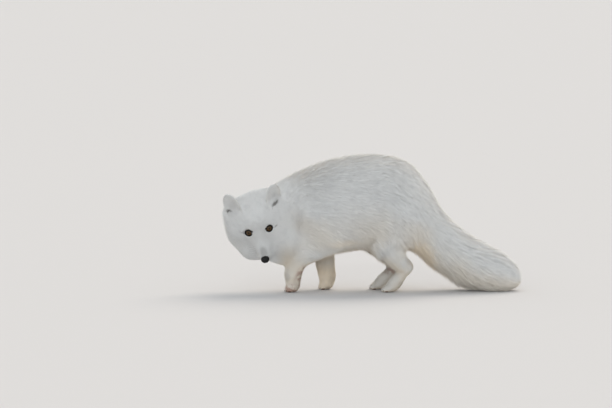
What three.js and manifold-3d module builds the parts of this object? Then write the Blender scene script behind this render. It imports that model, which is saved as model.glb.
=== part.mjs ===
// Arctic fox in its full winter coat, walking low with its head turned to its left: a still, life-size
// museum model. Millimetres, +Z up. The fox faces -X, its left side is towards -Y, and its paws stand
// on the plane z = 0. Every solid reaches out to the tips of the coat.
//
// The flesh is one field: round-ended lobes along the bones, melted together. Each node draws a mesh
// over the stretch of the field that is its own, and planes across the neck, tail and limbs trim it,
// with a thin gap to its neighbour. Ears, eyes and nose are fitted in pockets of the head.
import * as THREE from "three";
import { mergeVertices } from "three/addons/utils/BufferGeometryUtils.js";
import Module from "manifold-3d";

const wasm = await Module();
wasm.setup();

// ---------------------------------------------------------------- driving dimensions
const GAP = 0.35; // clear space where two solids meet
const MELT = { body: 34, limb: 22, joint: 12, tail: 22, face: 11, ruff: 22, toe: 5 }; // width of a blend

const SPINE = [
  { at: [-158, 0, 196], radius: 90, wide: 0.82 }, // chest
  { at: [-95, 0, 207], radius: 106, wide: 0.8 }, // ribs
  { at: [-25, 0, 220], radius: 105, wide: 0.77 }, // waist
  { at: [32, 0, 222], radius: 98, wide: 0.82 }, // loin
  { at: [62, 0, 200], radius: 84, wide: 0.95 }, // croup
];
const NECK = [
  { at: [-165, 0, 205], radius: 76 }, // withers
  { at: [-258, -20, 190], radius: 56 }, // nape
];
const BIB = [
  { at: [-165, -6, 140], radius: 50 }, // brisket
  { at: [-214, -22, 124], radius: 60 }, // the deep fur under the throat
];
const TAIL = [
  { at: [104, 0, 192], radius: 52 },
  { at: [130, 2, 148], radius: 54 },
  { at: [179, 4, 103], radius: 54 },
  { at: [237, 4, 65], radius: 55 },
  { at: [295, 2, 44.5], radius: 47.5 },
  { at: [326, 0, 34], radius: 33 },
];
// Radii of the furred limbs by joint; each leg has its own joints, from the trunk down to the toes.
const LIMB = {
  shoulder: 54, elbow: 30, wrist: 22, pastern: 19.5, forepaw: 17.5,
  hip: 70, knee: 33, hock: 16, foot: 14.5, hindpaw: 15.5,
};
const LEGS = {
  foreleg_left: { shoulder: [-148, -40, 190], elbow: [-92, -47, 128], wrist: [-184, -40, 80],
    pastern: [-196, -36, 44], forepaw: [-195, -34, 16], toes: [-208, -33, 7] },
  foreleg_right: { shoulder: [-135, 42, 190], elbow: [-123, 45, 124], wrist: [-117, 38, 60],
    pastern: [-112, 36, 36], forepaw: [-112, 35, 16], toes: [-126, 34, 7] },
  hindleg_left: { hip: [62, -34, 190], knee: [27, -46, 106], hock: [81, -40, 62],
    foot: [54, -34, 24], hindpaw: [45, -33, 14], toes: [28, -33, 7] },
  hindleg_right: { hip: [62, 34, 190], knee: [8, 46, 114], hock: [60, 38, 62],
    foot: [27, 34, 24], hindpaw: [16, 33, 14], toes: [-1, 33, 7] },
};
const TOES = { count: 4, radius: 7.8, spread: 9.4, back: 4.5 }; // back: how far the outer toes sit back

// The head has a frame of its own: origin midway between the eyes, x forward along the muzzle, y to
// the fox's left, z up through the crown.
const HEAD = { at: [-277, -75, 149.5], pitch: 52, roll: 12.3 }; // degrees: nose down, crown to the right
const SKULL = [
  { from: [-70, 0, -4], to: [-30, 0, 3], radii: [46, 36], wide: 1.2 }, // cranium
  { from: [-16, 0, 2], to: [-4, 0, -4], radii: [26, 21], wide: 1.18 }, // brow
  { from: [8, 0, -15], to: [52, 0, -32.5], radii: [20.5, 12], wide: 1.06 }, // muzzle
  { from: [-22, 0, -36], to: [42, 0, -43], radii: [22, 8], wide: 1.1 }, // jaw
];
const CHEEKS = [
  { from: [-8, 24, -16], to: [-26, 34, -20], radii: [17, 28] }, // over the cheekbone
  { from: [-30, 46, -24], to: [-66, 46, 0], radii: [33, 36] }, // side of the ruff
  { from: [-3, 27, -56], to: [-40, 36, -46], radii: [34, 39.5] }, // lower ruff
];
const THROAT = { from: [-2, 0, -56], to: [-60, 0, -40], radii: [32, 44], wide: 1.2 };
const EYE = {
  radius: 11, at: [-20, 14, -6], gaze: [0.74, 0.46, 0.5], opening: [9.2, 7.2, 5], sunk: -0.6, slant: 16,
};
const EAR = { base: [-46, 49, 29], tip: [-74, 57, 81], width: 44, thick: 12, rim: 6, root: 16, turn: 20 };
const NOSE = { at: [60, 0, -31.5], radii: [8.8, 9.9, 8.2], nostril: 2.3 };

// Planes that part one node from the next: where, the way the limb runs there, and the half width,
// half height and length of the stretch beyond the plane.
const CUTS = {
  nape: { at: [-222, -14, 170], way: [-0.84, -0.54, -0.1], size: [150, 150, 260] },
  withers: { at: [-163, 0, 200], way: [-0.94, 0, 0.34], size: [150, 200, 260] },
  croup: { at: [14, 0, 220], way: [1, 0, 0.12], size: [150, 300, 420] },
  tail_base: { at: [155, 1, 155], way: [0.94, 0.02, -0.33], size: [66, 100, 330] },
  tail_middle: { at: [196, 4, 105], way: [0.79, 0, -0.61], size: [70, 80, 260] },
  tail_tip: { at: [262, 4, 64], way: [0.87, 0, -0.49], size: [70, 80, 200] },
  foreleg_left: { at: [-160, -44, 80], way: [0.24, 0, -0.97], size: [39, 55, 120] },
  forepaw_left: { at: [-185, -37, 46], way: [-0.1, 0.1, -0.98], size: [35, 45, 90] },
  foreleg_right: { at: [-118, 44, 88], way: [0.1, 0, -0.99], size: [39, 48, 120] },
  forepaw_right: { at: [-112, 37, 40], way: [0.1, -0.05, -0.99], size: [35, 45, 90] },
  hindleg_left: { at: [31, -44, 45], way: [0.775, 0, -0.63], size: [39, 77, 120] },
  hindpaw_left: { at: [64, -36, 40], way: [-0.6, 0.1, -0.79], size: [33, 45, 110] },
  hindleg_right: { at: [8, 44, 52], way: [0.707, 0, -0.707], size: [39, 77, 120] },
  hindpaw_right: { at: [39, 36, 40], way: [-0.6, -0.1, -0.79], size: [33, 45, 110] },
};
// Each node: its cell size, the box it is drawn in, the cut it starts from and those that end it.
// The head's box is in the head's frame, and its cells are finer over the face.
const TOPS = ["foreleg_left", "foreleg_right", "hindleg_left", "hindleg_right"];
const NODES = {
  neck: {
    cell: 23, low: [-290, -115, 40], high: [-75, 120, 345],
    from: "withers", ends: ["nape", ...TOPS],
  },
  trunk: {
    cell: 26, low: [-255, -120, 45], high: [62, 125, 350],
    ends: ["nape", "withers", "croup", ...TOPS],
  },
  hindquarters: {
    cell: 24, low: [-22, -126, 40], high: [210, 126, 350],
    from: "croup", ends: ["tail_base", ...TOPS],
  },
  tail_base: {
    cell: 21, low: [80, -70, 20], high: [260, 78, 240],
    from: "tail_base", ends: ["tail_middle"],
  },
  tail_middle: {
    cell: 20, low: [130, -70, -20], high: [320, 78, 190],
    from: "tail_middle", ends: ["tail_tip"],
  },
  tail_tip: {
    cell: 20, low: [215, -68, -32], high: [400, 72, 135],
    from: "tail_tip", ends: [],
  },
  foreleg_left: {
    cell: 12, low: [-245, -95, 20], high: [-60, 2, 128],
    from: "foreleg_left", ends: ["forepaw_left"],
  },
  forepaw_left: {
    cell: 8.5, low: [-238, -74, -14], high: [-146, 4, 72],
    from: "forepaw_left", ends: [],
  },
  foreleg_right: {
    cell: 12, low: [-182, 0, 15], high: [-50, 95, 128],
    from: "foreleg_right", ends: ["forepaw_right"],
  },
  forepaw_right: {
    cell: 8.5, low: [-154, -4, -14], high: [-70, 76, 62],
    from: "forepaw_right", ends: [],
  },
  hindleg_left: {
    cell: 12, low: [-12, -95, 15], high: [148, 0, 138],
    from: "hindleg_left", ends: ["hindpaw_left"],
  },
  hindpaw_left: {
    cell: 8.5, low: [-6, -74, -14], high: [96, 4, 68],
    from: "hindpaw_left", ends: [],
  },
  hindleg_right: {
    cell: 12, low: [-42, 0, 15], high: [124, 95, 138],
    from: "hindleg_right", ends: ["hindpaw_right"],
  },
  hindpaw_right: {
    cell: 8.5, low: [-36, -4, -14], high: [70, 74, 68],
    from: "hindpaw_right", ends: [],
  },
};
const HEAD_NODE = {
  cell: 18.3, low: [-138, -112, -146], high: [82, 132, 80],
  from: "nape", ends: ["foreleg_left", "forepaw_left"],
  fine: { cell: 8.6, low: [-18, -36, -52], high: [80, 34, 8] },
};

// ---------------------------------------------------------------- frames and small helpers
const vec = (p) => new THREE.Vector3(...p);
const mirrored = ([x, y, z], side) => [x, y * side, z];

function headPlacement() {
  const [p, r] = [HEAD.pitch, HEAD.roll].map(THREE.MathUtils.degToRad);
  const forward = vec([Math.sin(p) * Math.sin(r), -Math.cos(p), -Math.sin(p) * Math.cos(r)]);
  const left = vec([Math.cos(r), 0, Math.sin(r)]);
  return new THREE.Matrix4().makeBasis(forward, left, forward.clone().cross(left)).setPosition(...HEAD.at);
}
const headMatrix = headPlacement();
const toHead = headMatrix.clone().invert();

// A closed geometry as a manifold-3d solid, moved by the matrix if there is one.
function solid(geometry, matrix = new THREE.Matrix4()) {
  const plain = new THREE.BufferGeometry().setAttribute("position", geometry.getAttribute("position"));
  const merged = mergeVertices(plain.setIndex(geometry.index).clone().applyMatrix4(matrix), 1e-3);
  return new wasm.Manifold(
    new wasm.Mesh({
      numProp: 3,
      vertProperties: new Float32Array(merged.getAttribute("position").array),
      triVerts: new Uint32Array(merged.index.array),
    }),
  );
}

function geometryOf(piece) {
  const { numProp, numVert, vertProperties, triVerts } = piece.getMesh();
  const positions = [...Array(numVert).keys()].flatMap((i) => [
    ...vertProperties.subarray(i * numProp, i * numProp + 3),
  ]);
  return closedGeometry(positions, [...triVerts]);
}

function closedGeometry(positions, faces) {
  const geometry = new THREE.BufferGeometry()
    .setAttribute("position", new THREE.Float32BufferAttribute(positions, 3))
    .setIndex(faces);
  geometry.computeVertexNormals();
  return geometry;
}

// ---------------------------------------------------------------- the field of the flesh
// A lobe is a ball that grows or shrinks on its way from one point to the next; wide stretches it in y.
function lobe(from, to, radii, wide = 1) {
  const [ax, ay, az] = from;
  const [dx, dy, dz] = [to[0] - ax, (to[1] - ay) / wide, to[2] - az];
  const length2 = Math.max(dx * dx + dy * dy + dz * dz, 1e-9);
  return (x, y, z) => {
    const [px, py, pz] = [x - ax, (y - ay) / wide, z - az];
    const t = Math.min(1, Math.max(0, (px * dx + py * dy + pz * dz) / length2));
    return Math.hypot(px - t * dx, py - t * dy, pz - t * dz) - radii[0] - t * (radii[1] - radii[0]);
  };
}

// The smaller of two distances, with the corner between them rounded over the width melt.
function melted(a, b, melt) {
  const h = Math.max(melt - Math.abs(a - b), 0) / melt;
  return Math.min(a, b) - h * h * melt * 0.25;
}

const chain = (links, melt) =>
  links.slice(1).map((to, i) => {
    const from = links[i];
    const wide = ((from.wide ?? 1) + (to.wide ?? 1)) / 2;
    return { melt, field: lobe(from.at, to.at, [from.radius, to.radius], wide) };
  });

function limbLobes(joints) {
  const names = Object.keys(joints).filter((name) => name !== "toes");
  const bones = names.slice(1).map((name, i) => ({
    melt: i ? MELT.joint : MELT.limb,
    field: lobe(joints[names[i]], joints[name], [LIMB[names[i]], LIMB[name]]),
  }));
  const [heel, tip] = [vec(joints[names.at(-1)]), vec(joints.toes)];
  const ahead = tip.clone().sub(heel).normalize();
  const toes = [...Array(TOES.count).keys()].map((i) => {
    const off = i - (TOES.count - 1) / 2;
    const end = tip.clone().add(vec([0, off * TOES.spread, 0]));
    end.addScaledVector(ahead, TOES.back * (1 - Math.abs(off)));
    const start = heel.clone().add(vec([0, off * TOES.spread * 0.8, -3]));
    return { melt: MELT.toe, field: lobe(start.toArray(), end.toArray(), [TOES.radius, TOES.radius]) };
  });
  return [...bones, ...toes];
}

const bodyLobes = [
  ...chain(SPINE, MELT.body),
  ...chain(NECK, MELT.body),
  ...chain(BIB, MELT.body),
  ...chain(TAIL, MELT.tail),
  ...Object.values(LEGS).flatMap(limbLobes),
];
const headLobes = [
  ...SKULL.map((s) => ({ melt: MELT.face, field: lobe(s.from, s.to, s.radii, s.wide) })),
  ...CHEEKS.flatMap((s) =>
    [1, -1].map((side) => {
      return { melt: MELT.ruff, field: lobe(mirrored(s.from, side), mirrored(s.to, side), s.radii) };
    }),
  ),
  { melt: MELT.ruff, field: lobe(THROAT.from, THROAT.to, THROAT.radii, THROAT.wide) },
];

const meltAll = (lobes, x, y, z) => lobes.reduce((d, part) => melted(d, part.field(x, y, z), part.melt), 1e3);

// The whole field, in the fox's frame and in the head's.
function flesh(x, y, z) {
  const h = new THREE.Vector3(x, y, z).applyMatrix4(toHead);
  return melted(meltAll(bodyLobes, x, y, z), meltAll(headLobes, h.x, h.y, h.z), MELT.ruff);
}
function fleshFromHead(x, y, z) {
  const w = new THREE.Vector3(x, y, z).applyMatrix4(headMatrix);
  return melted(meltAll(bodyLobes, w.x, w.y, w.z), meltAll(headLobes, x, y, z), MELT.ruff);
}

// ---------------------------------------------------------------- a mesh over the field
const CORNERS = [...Array(8).keys()].map((c) => [c & 1, (c >> 1) & 1, c >> 2]);
const EDGES = CORNERS.flatMap((_, n) => [1, 2, 4].filter((bit) => !(n & bit)).map((bit) => [n, n | bit]));
const STEPS = [[1, 0, 0], [0, 1, 0], [0, 0, 1]];

// The places of the grid along one axis, closer together where the node has a finer stretch.
function gridLine({ low, high, cell, fine }, axis) {
  const line = [low[axis]];
  while (line.at(-1) < high[axis]) {
    const inFine = fine && line.at(-1) >= fine.low[axis] && line.at(-1) < fine.high[axis];
    line.push(line.at(-1) + (inFine ? fine.cell : cell));
  }
  return line;
}

// Surface nets: one vertex in each cell of the grid that the surface crosses, and one quad round each
// grid edge that it crosses. The mesh closes at the sides of the box.
function skinOver(field, node) {
  const [xs, ys, zs] = [0, 1, 2].map((axis) => gridLine(node, axis));
  const size = [xs.length, ys.length, zs.length];
  const index = (i, j, k) => (k * size[1] + j) * size[0] + i;
  const place = (i, j, k) => [xs[i], ys[j], zs[k]];
  const values = new Float64Array(size[0] * size[1] * size[2]);
  const eachCell = (first, visit) => {
    for (let k = first; k < size[2] - 1; k++)
      for (let j = first; j < size[1] - 1; j++) for (let i = first; i < size[0] - 1; i++) visit(i, j, k);
  };
  values.fill(node.cell);
  eachCell(1, (i, j, k) => (values[index(i, j, k)] = field(...place(i, j, k)) || 1e-9));

  const vertexOf = new Map();
  const positions = [];
  eachCell(0, (i, j, k) => {
    const at = CORNERS.map(([a, b, c]) => values[index(i + a, j + b, k + c)]);
    const crossed = EDGES.filter(([a, b]) => at[a] > 0 !== at[b] > 0);
    if (!crossed.length) return;
    const middle = new THREE.Vector3();
    for (const [a, b] of crossed) {
      const [from, to] = [a, b].map((n) => CORNERS[n]).map(([u, v, w]) => vec(place(i + u, j + v, k + w)));
      middle.add(from.lerp(to, at[a] / (at[a] - at[b])));
    }
    vertexOf.set(index(i, j, k), positions.length / 3);
    positions.push(...ontoSurface(field, middle.divideScalar(crossed.length), node.cell * 0.3).toArray());
  });

  const faces = [];
  eachCell(0, (i, j, k) =>
    STEPS.forEach((step, axis) => {
      const inside = values[index(i, j, k)] < 0;
      if (inside === values[index(i + step[0], j + step[1], k + step[2])] < 0) return;
      const [u, v] = [STEPS[(axis + 1) % 3], STEPS[(axis + 2) % 3]];
      const [a, b, c, d] = [[0, 0], [1, 0], [1, 1], [0, 1]].map(([m, n]) =>
        vertexOf.get(index(i - m * u[0] - n * v[0], j - m * u[1] - n * v[1], k - m * u[2] - n * v[2])),
      );
      const middle = (m, n) => vec([0, 1, 2].map((t) => (positions[3 * m + t] + positions[3 * n + t]) / 2));
      const off = (m, n) => Math.abs(field(...middle(m, n).toArray()));
      const ring = off(a, c) < off(b, d) ? [a, b, c, a, c, d] : [b, c, d, b, d, a];
      faces.push(...(inside ? ring : ring.reverse()));
    }),
  );
  return closedGeometry(positions, faces);
}

// Walks a point down the field's slope to the surface, no further than reach.
function ontoSurface(field, start, reach) {
  const point = start.clone();
  const e = 0.5;
  for (let step = 0; step < 3; step++) {
    const { x, y, z } = point;
    const d = field(x, y, z);
    const ahead = [field(x + e, y, z), field(x, y + e, z), field(x, y, z + e)];
    const slope = vec(ahead.map((value) => (value - d) / e));
    point.addScaledVector(slope, -d / Math.max(slope.lengthSq(), 0.05));
  }
  return point.sub(start).clampLength(0, reach).add(start);
}

// The block beyond a cut's plane, moved back by ahead along the limb.
function block({ at, way, size }, ahead) {
  const [wide, high, long] = size;
  const along = vec(way).normalize();
  const side = vec([0, 1, 0]).addScaledVector(along, -along.y).normalize();
  const frame = new THREE.Matrix4().makeBasis(side.clone().cross(along), side, along).setPosition(...at);
  const geometry = new THREE.BoxGeometry(2 * high, 2 * wide, long).translate(0, 0, long / 2 + ahead);
  return solid(geometry, frame);
}

const floor = solid(new THREE.BoxGeometry(900, 500, 100).translate(0, 0, -50));

// The stretch of the fox beyond one cut, in the fox's frame.
function trimmed(whole, { from, ends }) {
  const started = from ? whole.intersect(block(CUTS[from], 0)) : whole;
  return ends.reduce((piece, end) => piece.subtract(block(CUTS[end], -GAP)), started).subtract(floor);
}

// ---------------------------------------------------------------- ears, eyes and nose
// A closed loft through rings of points with a flat face at each end.
function loft(rings) {
  const count = rings[0].length;
  const faces = [];
  for (let r = 0; r < rings.length - 1; r++)
    for (let i = 0; i < count; i++) {
      const [a, b] = [r * count + i, r * count + ((i + 1) % count)];
      faces.push(a, b + count, b, a, a + count, b + count);
    }
  const middles = [rings[0], rings.at(-1)].map((ring) =>
    ring.reduce((sum, p) => sum.add(p), new THREE.Vector3()).divideScalar(count),
  );
  const first = rings.length * count;
  for (let i = 0; i < count; i++) {
    const next = (i + 1) % count;
    faces.push(first, i, next, first + 1, first - count + next, first - count + i);
  }
  return closedGeometry([...rings.flat(), ...middles].flatMap((p) => p.toArray()), faces);
}

// The ear is a cup: an arc of a tube that narrows to a round tip, open to the front, thick with fur.
function earGeometry(side, grow = 0) {
  const [stations, across] = [8, 6];
  const base = vec(mirrored(EAR.base, side));
  const axis = vec(mirrored(EAR.tip, side)).sub(base);
  const height = axis.length() + grow;
  axis.normalize();
  const turn = THREE.MathUtils.degToRad(EAR.turn) * side;
  const front = vec([Math.cos(turn), Math.sin(turn), 0]).projectOnPlane(axis).normalize();
  const cross = axis.clone().cross(front);
  const low = -(EAR.root + grow) / height;
  return loft(
    [...Array(stations + 1).keys()].map((s) => {
      const t = low + (1 - low) * Math.sin((0.5 * Math.PI * s) / stations);
      const up = Math.max(t, 0);
      const half = (EAR.width / 2) * Math.sqrt(Math.max(1 - up ** 4, 0.006)) + grow;
      const thick = THREE.MathUtils.lerp(EAR.thick, EAR.rim, up) + 5 * grow; // the edges are thin and steep
      return [...Array(2 * across).keys()].map((i) => {
        const back = i < across;
        const w = back ? -1 + (2 * i) / (across - 1) : 1 - (2 * (i - across)) / (across - 1);
        const hollow = 0.5 * half * (1 - 0.5 * t) * (1 - w * w);
        const depth = (back ? -0.5 : 0.5) * thick * Math.sqrt(1 - 0.8 * w * w) - hollow;
        const point = base.clone().addScaledVector(axis, t * height).addScaledVector(cross, w * half);
        return point.addScaledVector(front, depth);
      });
    }),
  );
}

const ellipsoid = (radii, detail) =>
  new THREE.SphereGeometry(1, detail, Math.round(detail * 0.6)).scale(...radii);

// The eye looks along its gaze from just under the point where that line leaves the face.
function eyePlace(side) {
  const gaze = vec(mirrored(EYE.gaze, side)).normalize();
  const surface = vec(mirrored(EYE.at, side));
  for (let i = 0; i < 60; i++) surface.addScaledVector(gaze, -meltAll(headLobes, ...surface.toArray()) * 0.8);
  const level = vec([0, 0, 1]).projectOnPlane(gaze).normalize();
  const up = level.applyAxisAngle(gaze, -THREE.MathUtils.degToRad(EYE.slant) * side);
  const opening = new THREE.Matrix4().makeBasis(up.clone().cross(gaze), up, gaze).setPosition(surface);
  return { surface, opening, centre: surface.clone().addScaledVector(gaze, -EYE.radius - EYE.sunk) };
}

// ---------------------------------------------------------------- putting the fox together
const pieces = Object.fromEntries(
  Object.entries(NODES).map(([name, node]) => [name, trimmed(solid(skinOver(flesh, node)), node)]),
);

function headPieces() {
  const inFox = trimmed(solid(skinOver(fleshFromHead, HEAD_NODE), headMatrix), HEAD_NODE);
  const found = { head: solid(geometryOf(inFox), toHead) };
  const fit = (name, geometry, pocket) => {
    found.head = found.head.subtract(solid(pocket));
    found[name] = solid(geometry);
  };
  for (const [name, side] of [["left", 1], ["right", -1]]) {
    fit(`ear_${name}`, earGeometry(side), earGeometry(side, GAP));
    const { opening, centre } = eyePlace(side);
    const [ball, socket] = [0, GAP].map((grow) => new THREE.SphereGeometry(EYE.radius + grow, 13, 8));
    fit(`eye_${name}`, ball.translate(...centre.toArray()), socket.translate(...centre.toArray()));
    found.head = found.head.subtract(solid(ellipsoid(EYE.opening, 12), opening));
  }
  const [pad, pocket] = [0, GAP].map((grow) => ellipsoid(NOSE.radii.map((r) => r + grow), 12));
  fit("nose", pad.translate(...NOSE.at), pocket.translate(...NOSE.at));
  for (const side of [1, -1]) {
    const nostril = ellipsoid([3.4, NOSE.nostril, NOSE.nostril * 0.85], 8);
    nostril.translate(NOSE.at[0] + 7.3, side * 4, NOSE.at[2] - 0.4);
    found.nose = found.nose.subtract(solid(nostril));
  }
  return found;
}

const FINISHES = {
  coat: new THREE.MeshStandardMaterial({ color: 0xe9e8e3, roughness: 0.95 }),
  iris: new THREE.MeshStandardMaterial({ color: 0x6e4a1c, roughness: 0.12 }),
  leather: new THREE.MeshStandardMaterial({ color: 0x1b1a1b, roughness: 0.4 }),
};
const finishOf = (name) => (name === "nose" ? "leather" : name.startsWith("eye") ? "iris" : "coat");

function meshOf([name, piece]) {
  const mesh = new THREE.Mesh(geometryOf(piece), FINISHES[finishOf(name)]);
  mesh.name = name;
  return mesh;
}

const fox = new THREE.Group();
fox.name = "arctic_fox";
fox.add(...Object.entries(pieces).map(meshOf));
const head = new THREE.Group();
head.name = "head_group";
head.applyMatrix4(headMatrix);
head.add(...Object.entries(headPieces()).map(meshOf));
fox.add(head);

// The origin is the middle of the footprint, on the floor.
const box = new THREE.Box3().setFromObject(fox, true);
fox.position.set(-(box.min.x + box.max.x) / 2, -(box.min.y + box.max.y) / 2, -box.min.z);

export default fox;
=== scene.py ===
"""Looks of a life-size arctic fox in winter coat: skin, coat, eyes, nose, lips, whiskers and claws.

All is built round the solids, in metres: +Z up, the fox faces -X, its left side towards -Y.
The solids reach out to the tips of the coat. The skin is their surface drawn in by the depth of the
coat, and each blade of fur grows from the skin to that surface, along the lie of the coat.
"""

import math

import bmesh
import bpy
import numpy as np
from mathutils import Matrix, Vector
from mathutils.bvhtree import BVHTree
from mathutils.kdtree import KDTree


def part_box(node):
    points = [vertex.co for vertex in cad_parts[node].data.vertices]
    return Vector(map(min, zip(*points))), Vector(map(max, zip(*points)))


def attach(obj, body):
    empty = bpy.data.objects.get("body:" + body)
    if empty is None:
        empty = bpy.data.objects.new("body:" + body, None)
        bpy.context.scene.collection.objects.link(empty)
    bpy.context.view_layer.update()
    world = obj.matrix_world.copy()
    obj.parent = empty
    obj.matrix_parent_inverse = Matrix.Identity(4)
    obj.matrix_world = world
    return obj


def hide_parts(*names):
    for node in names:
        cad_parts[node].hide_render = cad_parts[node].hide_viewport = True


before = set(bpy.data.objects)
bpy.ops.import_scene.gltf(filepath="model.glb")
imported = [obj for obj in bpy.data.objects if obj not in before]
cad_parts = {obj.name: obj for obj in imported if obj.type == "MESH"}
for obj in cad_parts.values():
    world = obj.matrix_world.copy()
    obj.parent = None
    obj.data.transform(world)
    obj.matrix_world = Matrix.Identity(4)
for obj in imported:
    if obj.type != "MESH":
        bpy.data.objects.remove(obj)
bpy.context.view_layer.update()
scene = bpy.context.scene
rng = np.random.default_rng(20)

MM = 0.001
SKIN_VOXEL = 2.7 * MM  # the size of a face of the skin
GROUND = 0.4 * MM  # the lowest that fur reaches over the floor
BAKE_PATCH = 0.003  # the size of a blade's own place on the coat's colour map

# For each part of the body: how deep its coat is and how far a blade sweeps along the skin (mm), which
# way the coat lies, how far its tips rise (degrees), and how much its facets are smoothed away.
COAT = {
    "head": dict(depth=12, sweep=19, lie=(1, 0, 0), rise=5, ease=0.07),
    "ear": dict(depth=1.7, sweep=6, lie=(0, 0, 1), rise=6, ease=0.02),
    "neck": dict(depth=23, sweep=36, lie=(0.85, 0.1, -0.5), rise=6, ease=0.5),
    "trunk": dict(depth=24, sweep=42, lie=(1, 0, -0.28), rise=5, ease=0.5),
    "hindquarters": dict(depth=24, sweep=40, lie=(0.75, 0, -0.6), rise=5, ease=0.5),
    "tail_base": dict(depth=20, sweep=38, lie=(0.8, 0, -0.6), rise=8, ease=0.5),
    "tail_middle": dict(depth=22, sweep=40, lie=(0.84, 0, -0.54), rise=10, ease=0.5),
    "tail_tip": dict(depth=22, sweep=40, lie=(0.9, 0, -0.4), rise=10, ease=0.5),
    "foreleg": dict(depth=6, sweep=10, lie=(0.05, 0, -1), rise=7, ease=0.2),
    "hindleg": dict(depth=6, sweep=10, lie=(0.1, 0, -1), rise=7, ease=0.2),
    "forepaw": dict(depth=3.4, sweep=6, lie=(-0.8, 0, -0.6), rise=7, ease=0.08),
    "hindpaw": dict(depth=3.4, sweep=6, lie=(-0.8, 0, -0.6), rise=7, ease=0.08),
}
PAIRED = ("ear", "foreleg", "hindleg", "forepaw", "hindpaw")
HANDS = {"left": 1, "right": -1}  # the sign of y in the head's frame
PART_OF = {f"{part}_{side}" if part in PAIRED else part: part for part in COAT for side in HANDS}
FLESH = list(PART_OF)  # the nodes that the coat covers
PAWS = [name for name in FLESH if "paw" in name]


# -------- small tools
def centre(node):
    low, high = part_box(node)
    return (low + high) / 2


def unit(vectors):
    vectors = np.asarray(vectors, float)
    return vectors / np.maximum(np.linalg.norm(vectors, axis=-1, keepdims=True), 1e-12)


def dot(a, b):
    return (a * b).sum(-1, keepdims=True)


def rising(values, low, high):
    """0 below low, 1 above high, and a soft slope between."""
    t = np.clip((values - low) / (high - low), 0, 1)
    return t * t * (3 - 2 * t)


def numbers(items, name, width, kind=np.float32):
    """One property of every item, a row for each."""
    found = np.empty(len(items) * width, kind)
    items.foreach_get(name, found)
    return found.reshape(-1, width)


def linked(name, mesh):
    piece = bpy.data.objects.new(name, mesh)
    scene.collection.objects.link(piece)
    return piece


def mesh_of(name, shape):
    """A finished bmesh as a mesh."""
    mesh = bpy.data.meshes.new(name)
    shape.to_mesh(mesh)
    shape.free()
    return mesh


def piece_of(name, shape, finish):
    """A bmesh as a smooth piece that rides on the fox."""
    mesh = mesh_of(name, shape)
    mesh.polygons.foreach_set("use_smooth", [True] * len(mesh.polygons))
    mesh.materials.append(finish)
    piece = linked(name, mesh)
    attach(piece, "root")
    return piece


# -------- the head's own frame
NOSE_BELOW = 28.4  # degrees from the line of the muzzle's top down to the nose, seen from the eyes


def head_frame():
    """A matrix from the head's frame, x forward, y to the fox's left and z through the crown."""
    left_eye, right_eye = centre("eye_left"), centre("eye_right")
    middle = (left_eye + right_eye) / 2
    left = (left_eye - right_eye).normalized()
    muzzle = centre("nose") - middle
    muzzle = (muzzle - left * muzzle.dot(left)).normalized()
    forward = Matrix.Rotation(-math.radians(NOSE_BELOW), 3, left) @ muzzle
    up = forward.cross(left)
    turn = Matrix((forward, left, up)).transposed().to_4x4()
    return Matrix.Translation(middle) @ turn


HEAD = head_frame()
HEAD_AXES = np.array(HEAD.to_3x3())
HEAD_AT = np.array(HEAD.translation)


def in_head(points):
    """Places in the head's frame, in millimetres."""
    return (np.asarray(points) - HEAD_AT) @ HEAD_AXES / MM


def from_head(place):
    return HEAD @ (Vector(place) * MM)


EYE_OPENING = (8.2, 5.9)  # half the width and height of the gap between the lids, mm
EYE_ROUNDING = 1.7  # the gap's outline: 2 is an ellipse, less has pointed corners
EYE_RIM = 2.9  # the width of the black rim of the lids, mm
EYE_CORNER = 2.2  # how much wider the rim is at the two corners, mm
EYE_GAZE = (0.78, 0.37, 0.51)  # the way the left socket faces, in the head's frame
EYE_SLANT = 16  # degrees that the outer corner is raised
EYEBALL = 11 * MM


def eye_frame(side):
    """A matrix from an eye's frame: x to its outer corner, y up the face, z out along the gaze."""
    hand = HANDS[side]
    gaze = Vector((EYE_GAZE[0], EYE_GAZE[1] * hand, EYE_GAZE[2])).normalized()
    level = Vector((0, 0, 1))
    level = (level - gaze * level.dot(gaze)).normalized()
    up = Matrix.Rotation(-math.radians(EYE_SLANT) * hand, 3, gaze) @ level
    outer = up.cross(gaze) * hand
    turn = Matrix((outer, up, gaze)).transposed()
    return Matrix.Translation(centre(f"eye_{side}")) @ (HEAD.to_3x3() @ turn).to_4x4()


def lid_edge(angle):
    """Distance from the gaze to the edge of the lids, mm: an almond with a corner at each side."""
    wide, high = EYE_OPENING
    across = np.abs(np.cos(angle)) / wide
    upright = np.abs(np.sin(angle)) / high
    return (across**EYE_ROUNDING + upright**EYE_ROUNDING) ** (-1 / EYE_ROUNDING)


def rim_width(angle):
    """Width of the black rim of the lids, mm: drawn out to a point at each corner."""
    corner = np.clip(np.abs(np.cos(angle)) - 0.88, 0, 1) / 0.12
    return EYE_RIM + EYE_CORNER * corner**2


def over_eye(points, side):
    """Places in an eye's frame, mm, and how far each lies out past the black rim of the lids."""
    away = np.linalg.inv(np.array(eye_frame(side)))
    local = (np.asarray(points) @ away[:3, :3].T + away[:3, 3]) / MM
    radius = np.hypot(local[:, 0], local[:, 1])
    angle = np.arctan2(local[:, 1], local[:, 0])
    beyond = radius - lid_edge(angle) - rim_width(angle)
    return local, np.where((local[:, 2] > 0) & (local[:, 2] < 30), beyond, 99)


def from_eye(local, side):
    turn = np.array(eye_frame(side))
    return local * MM @ turn[:3, :3].T + turn[:3, 3]


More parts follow.
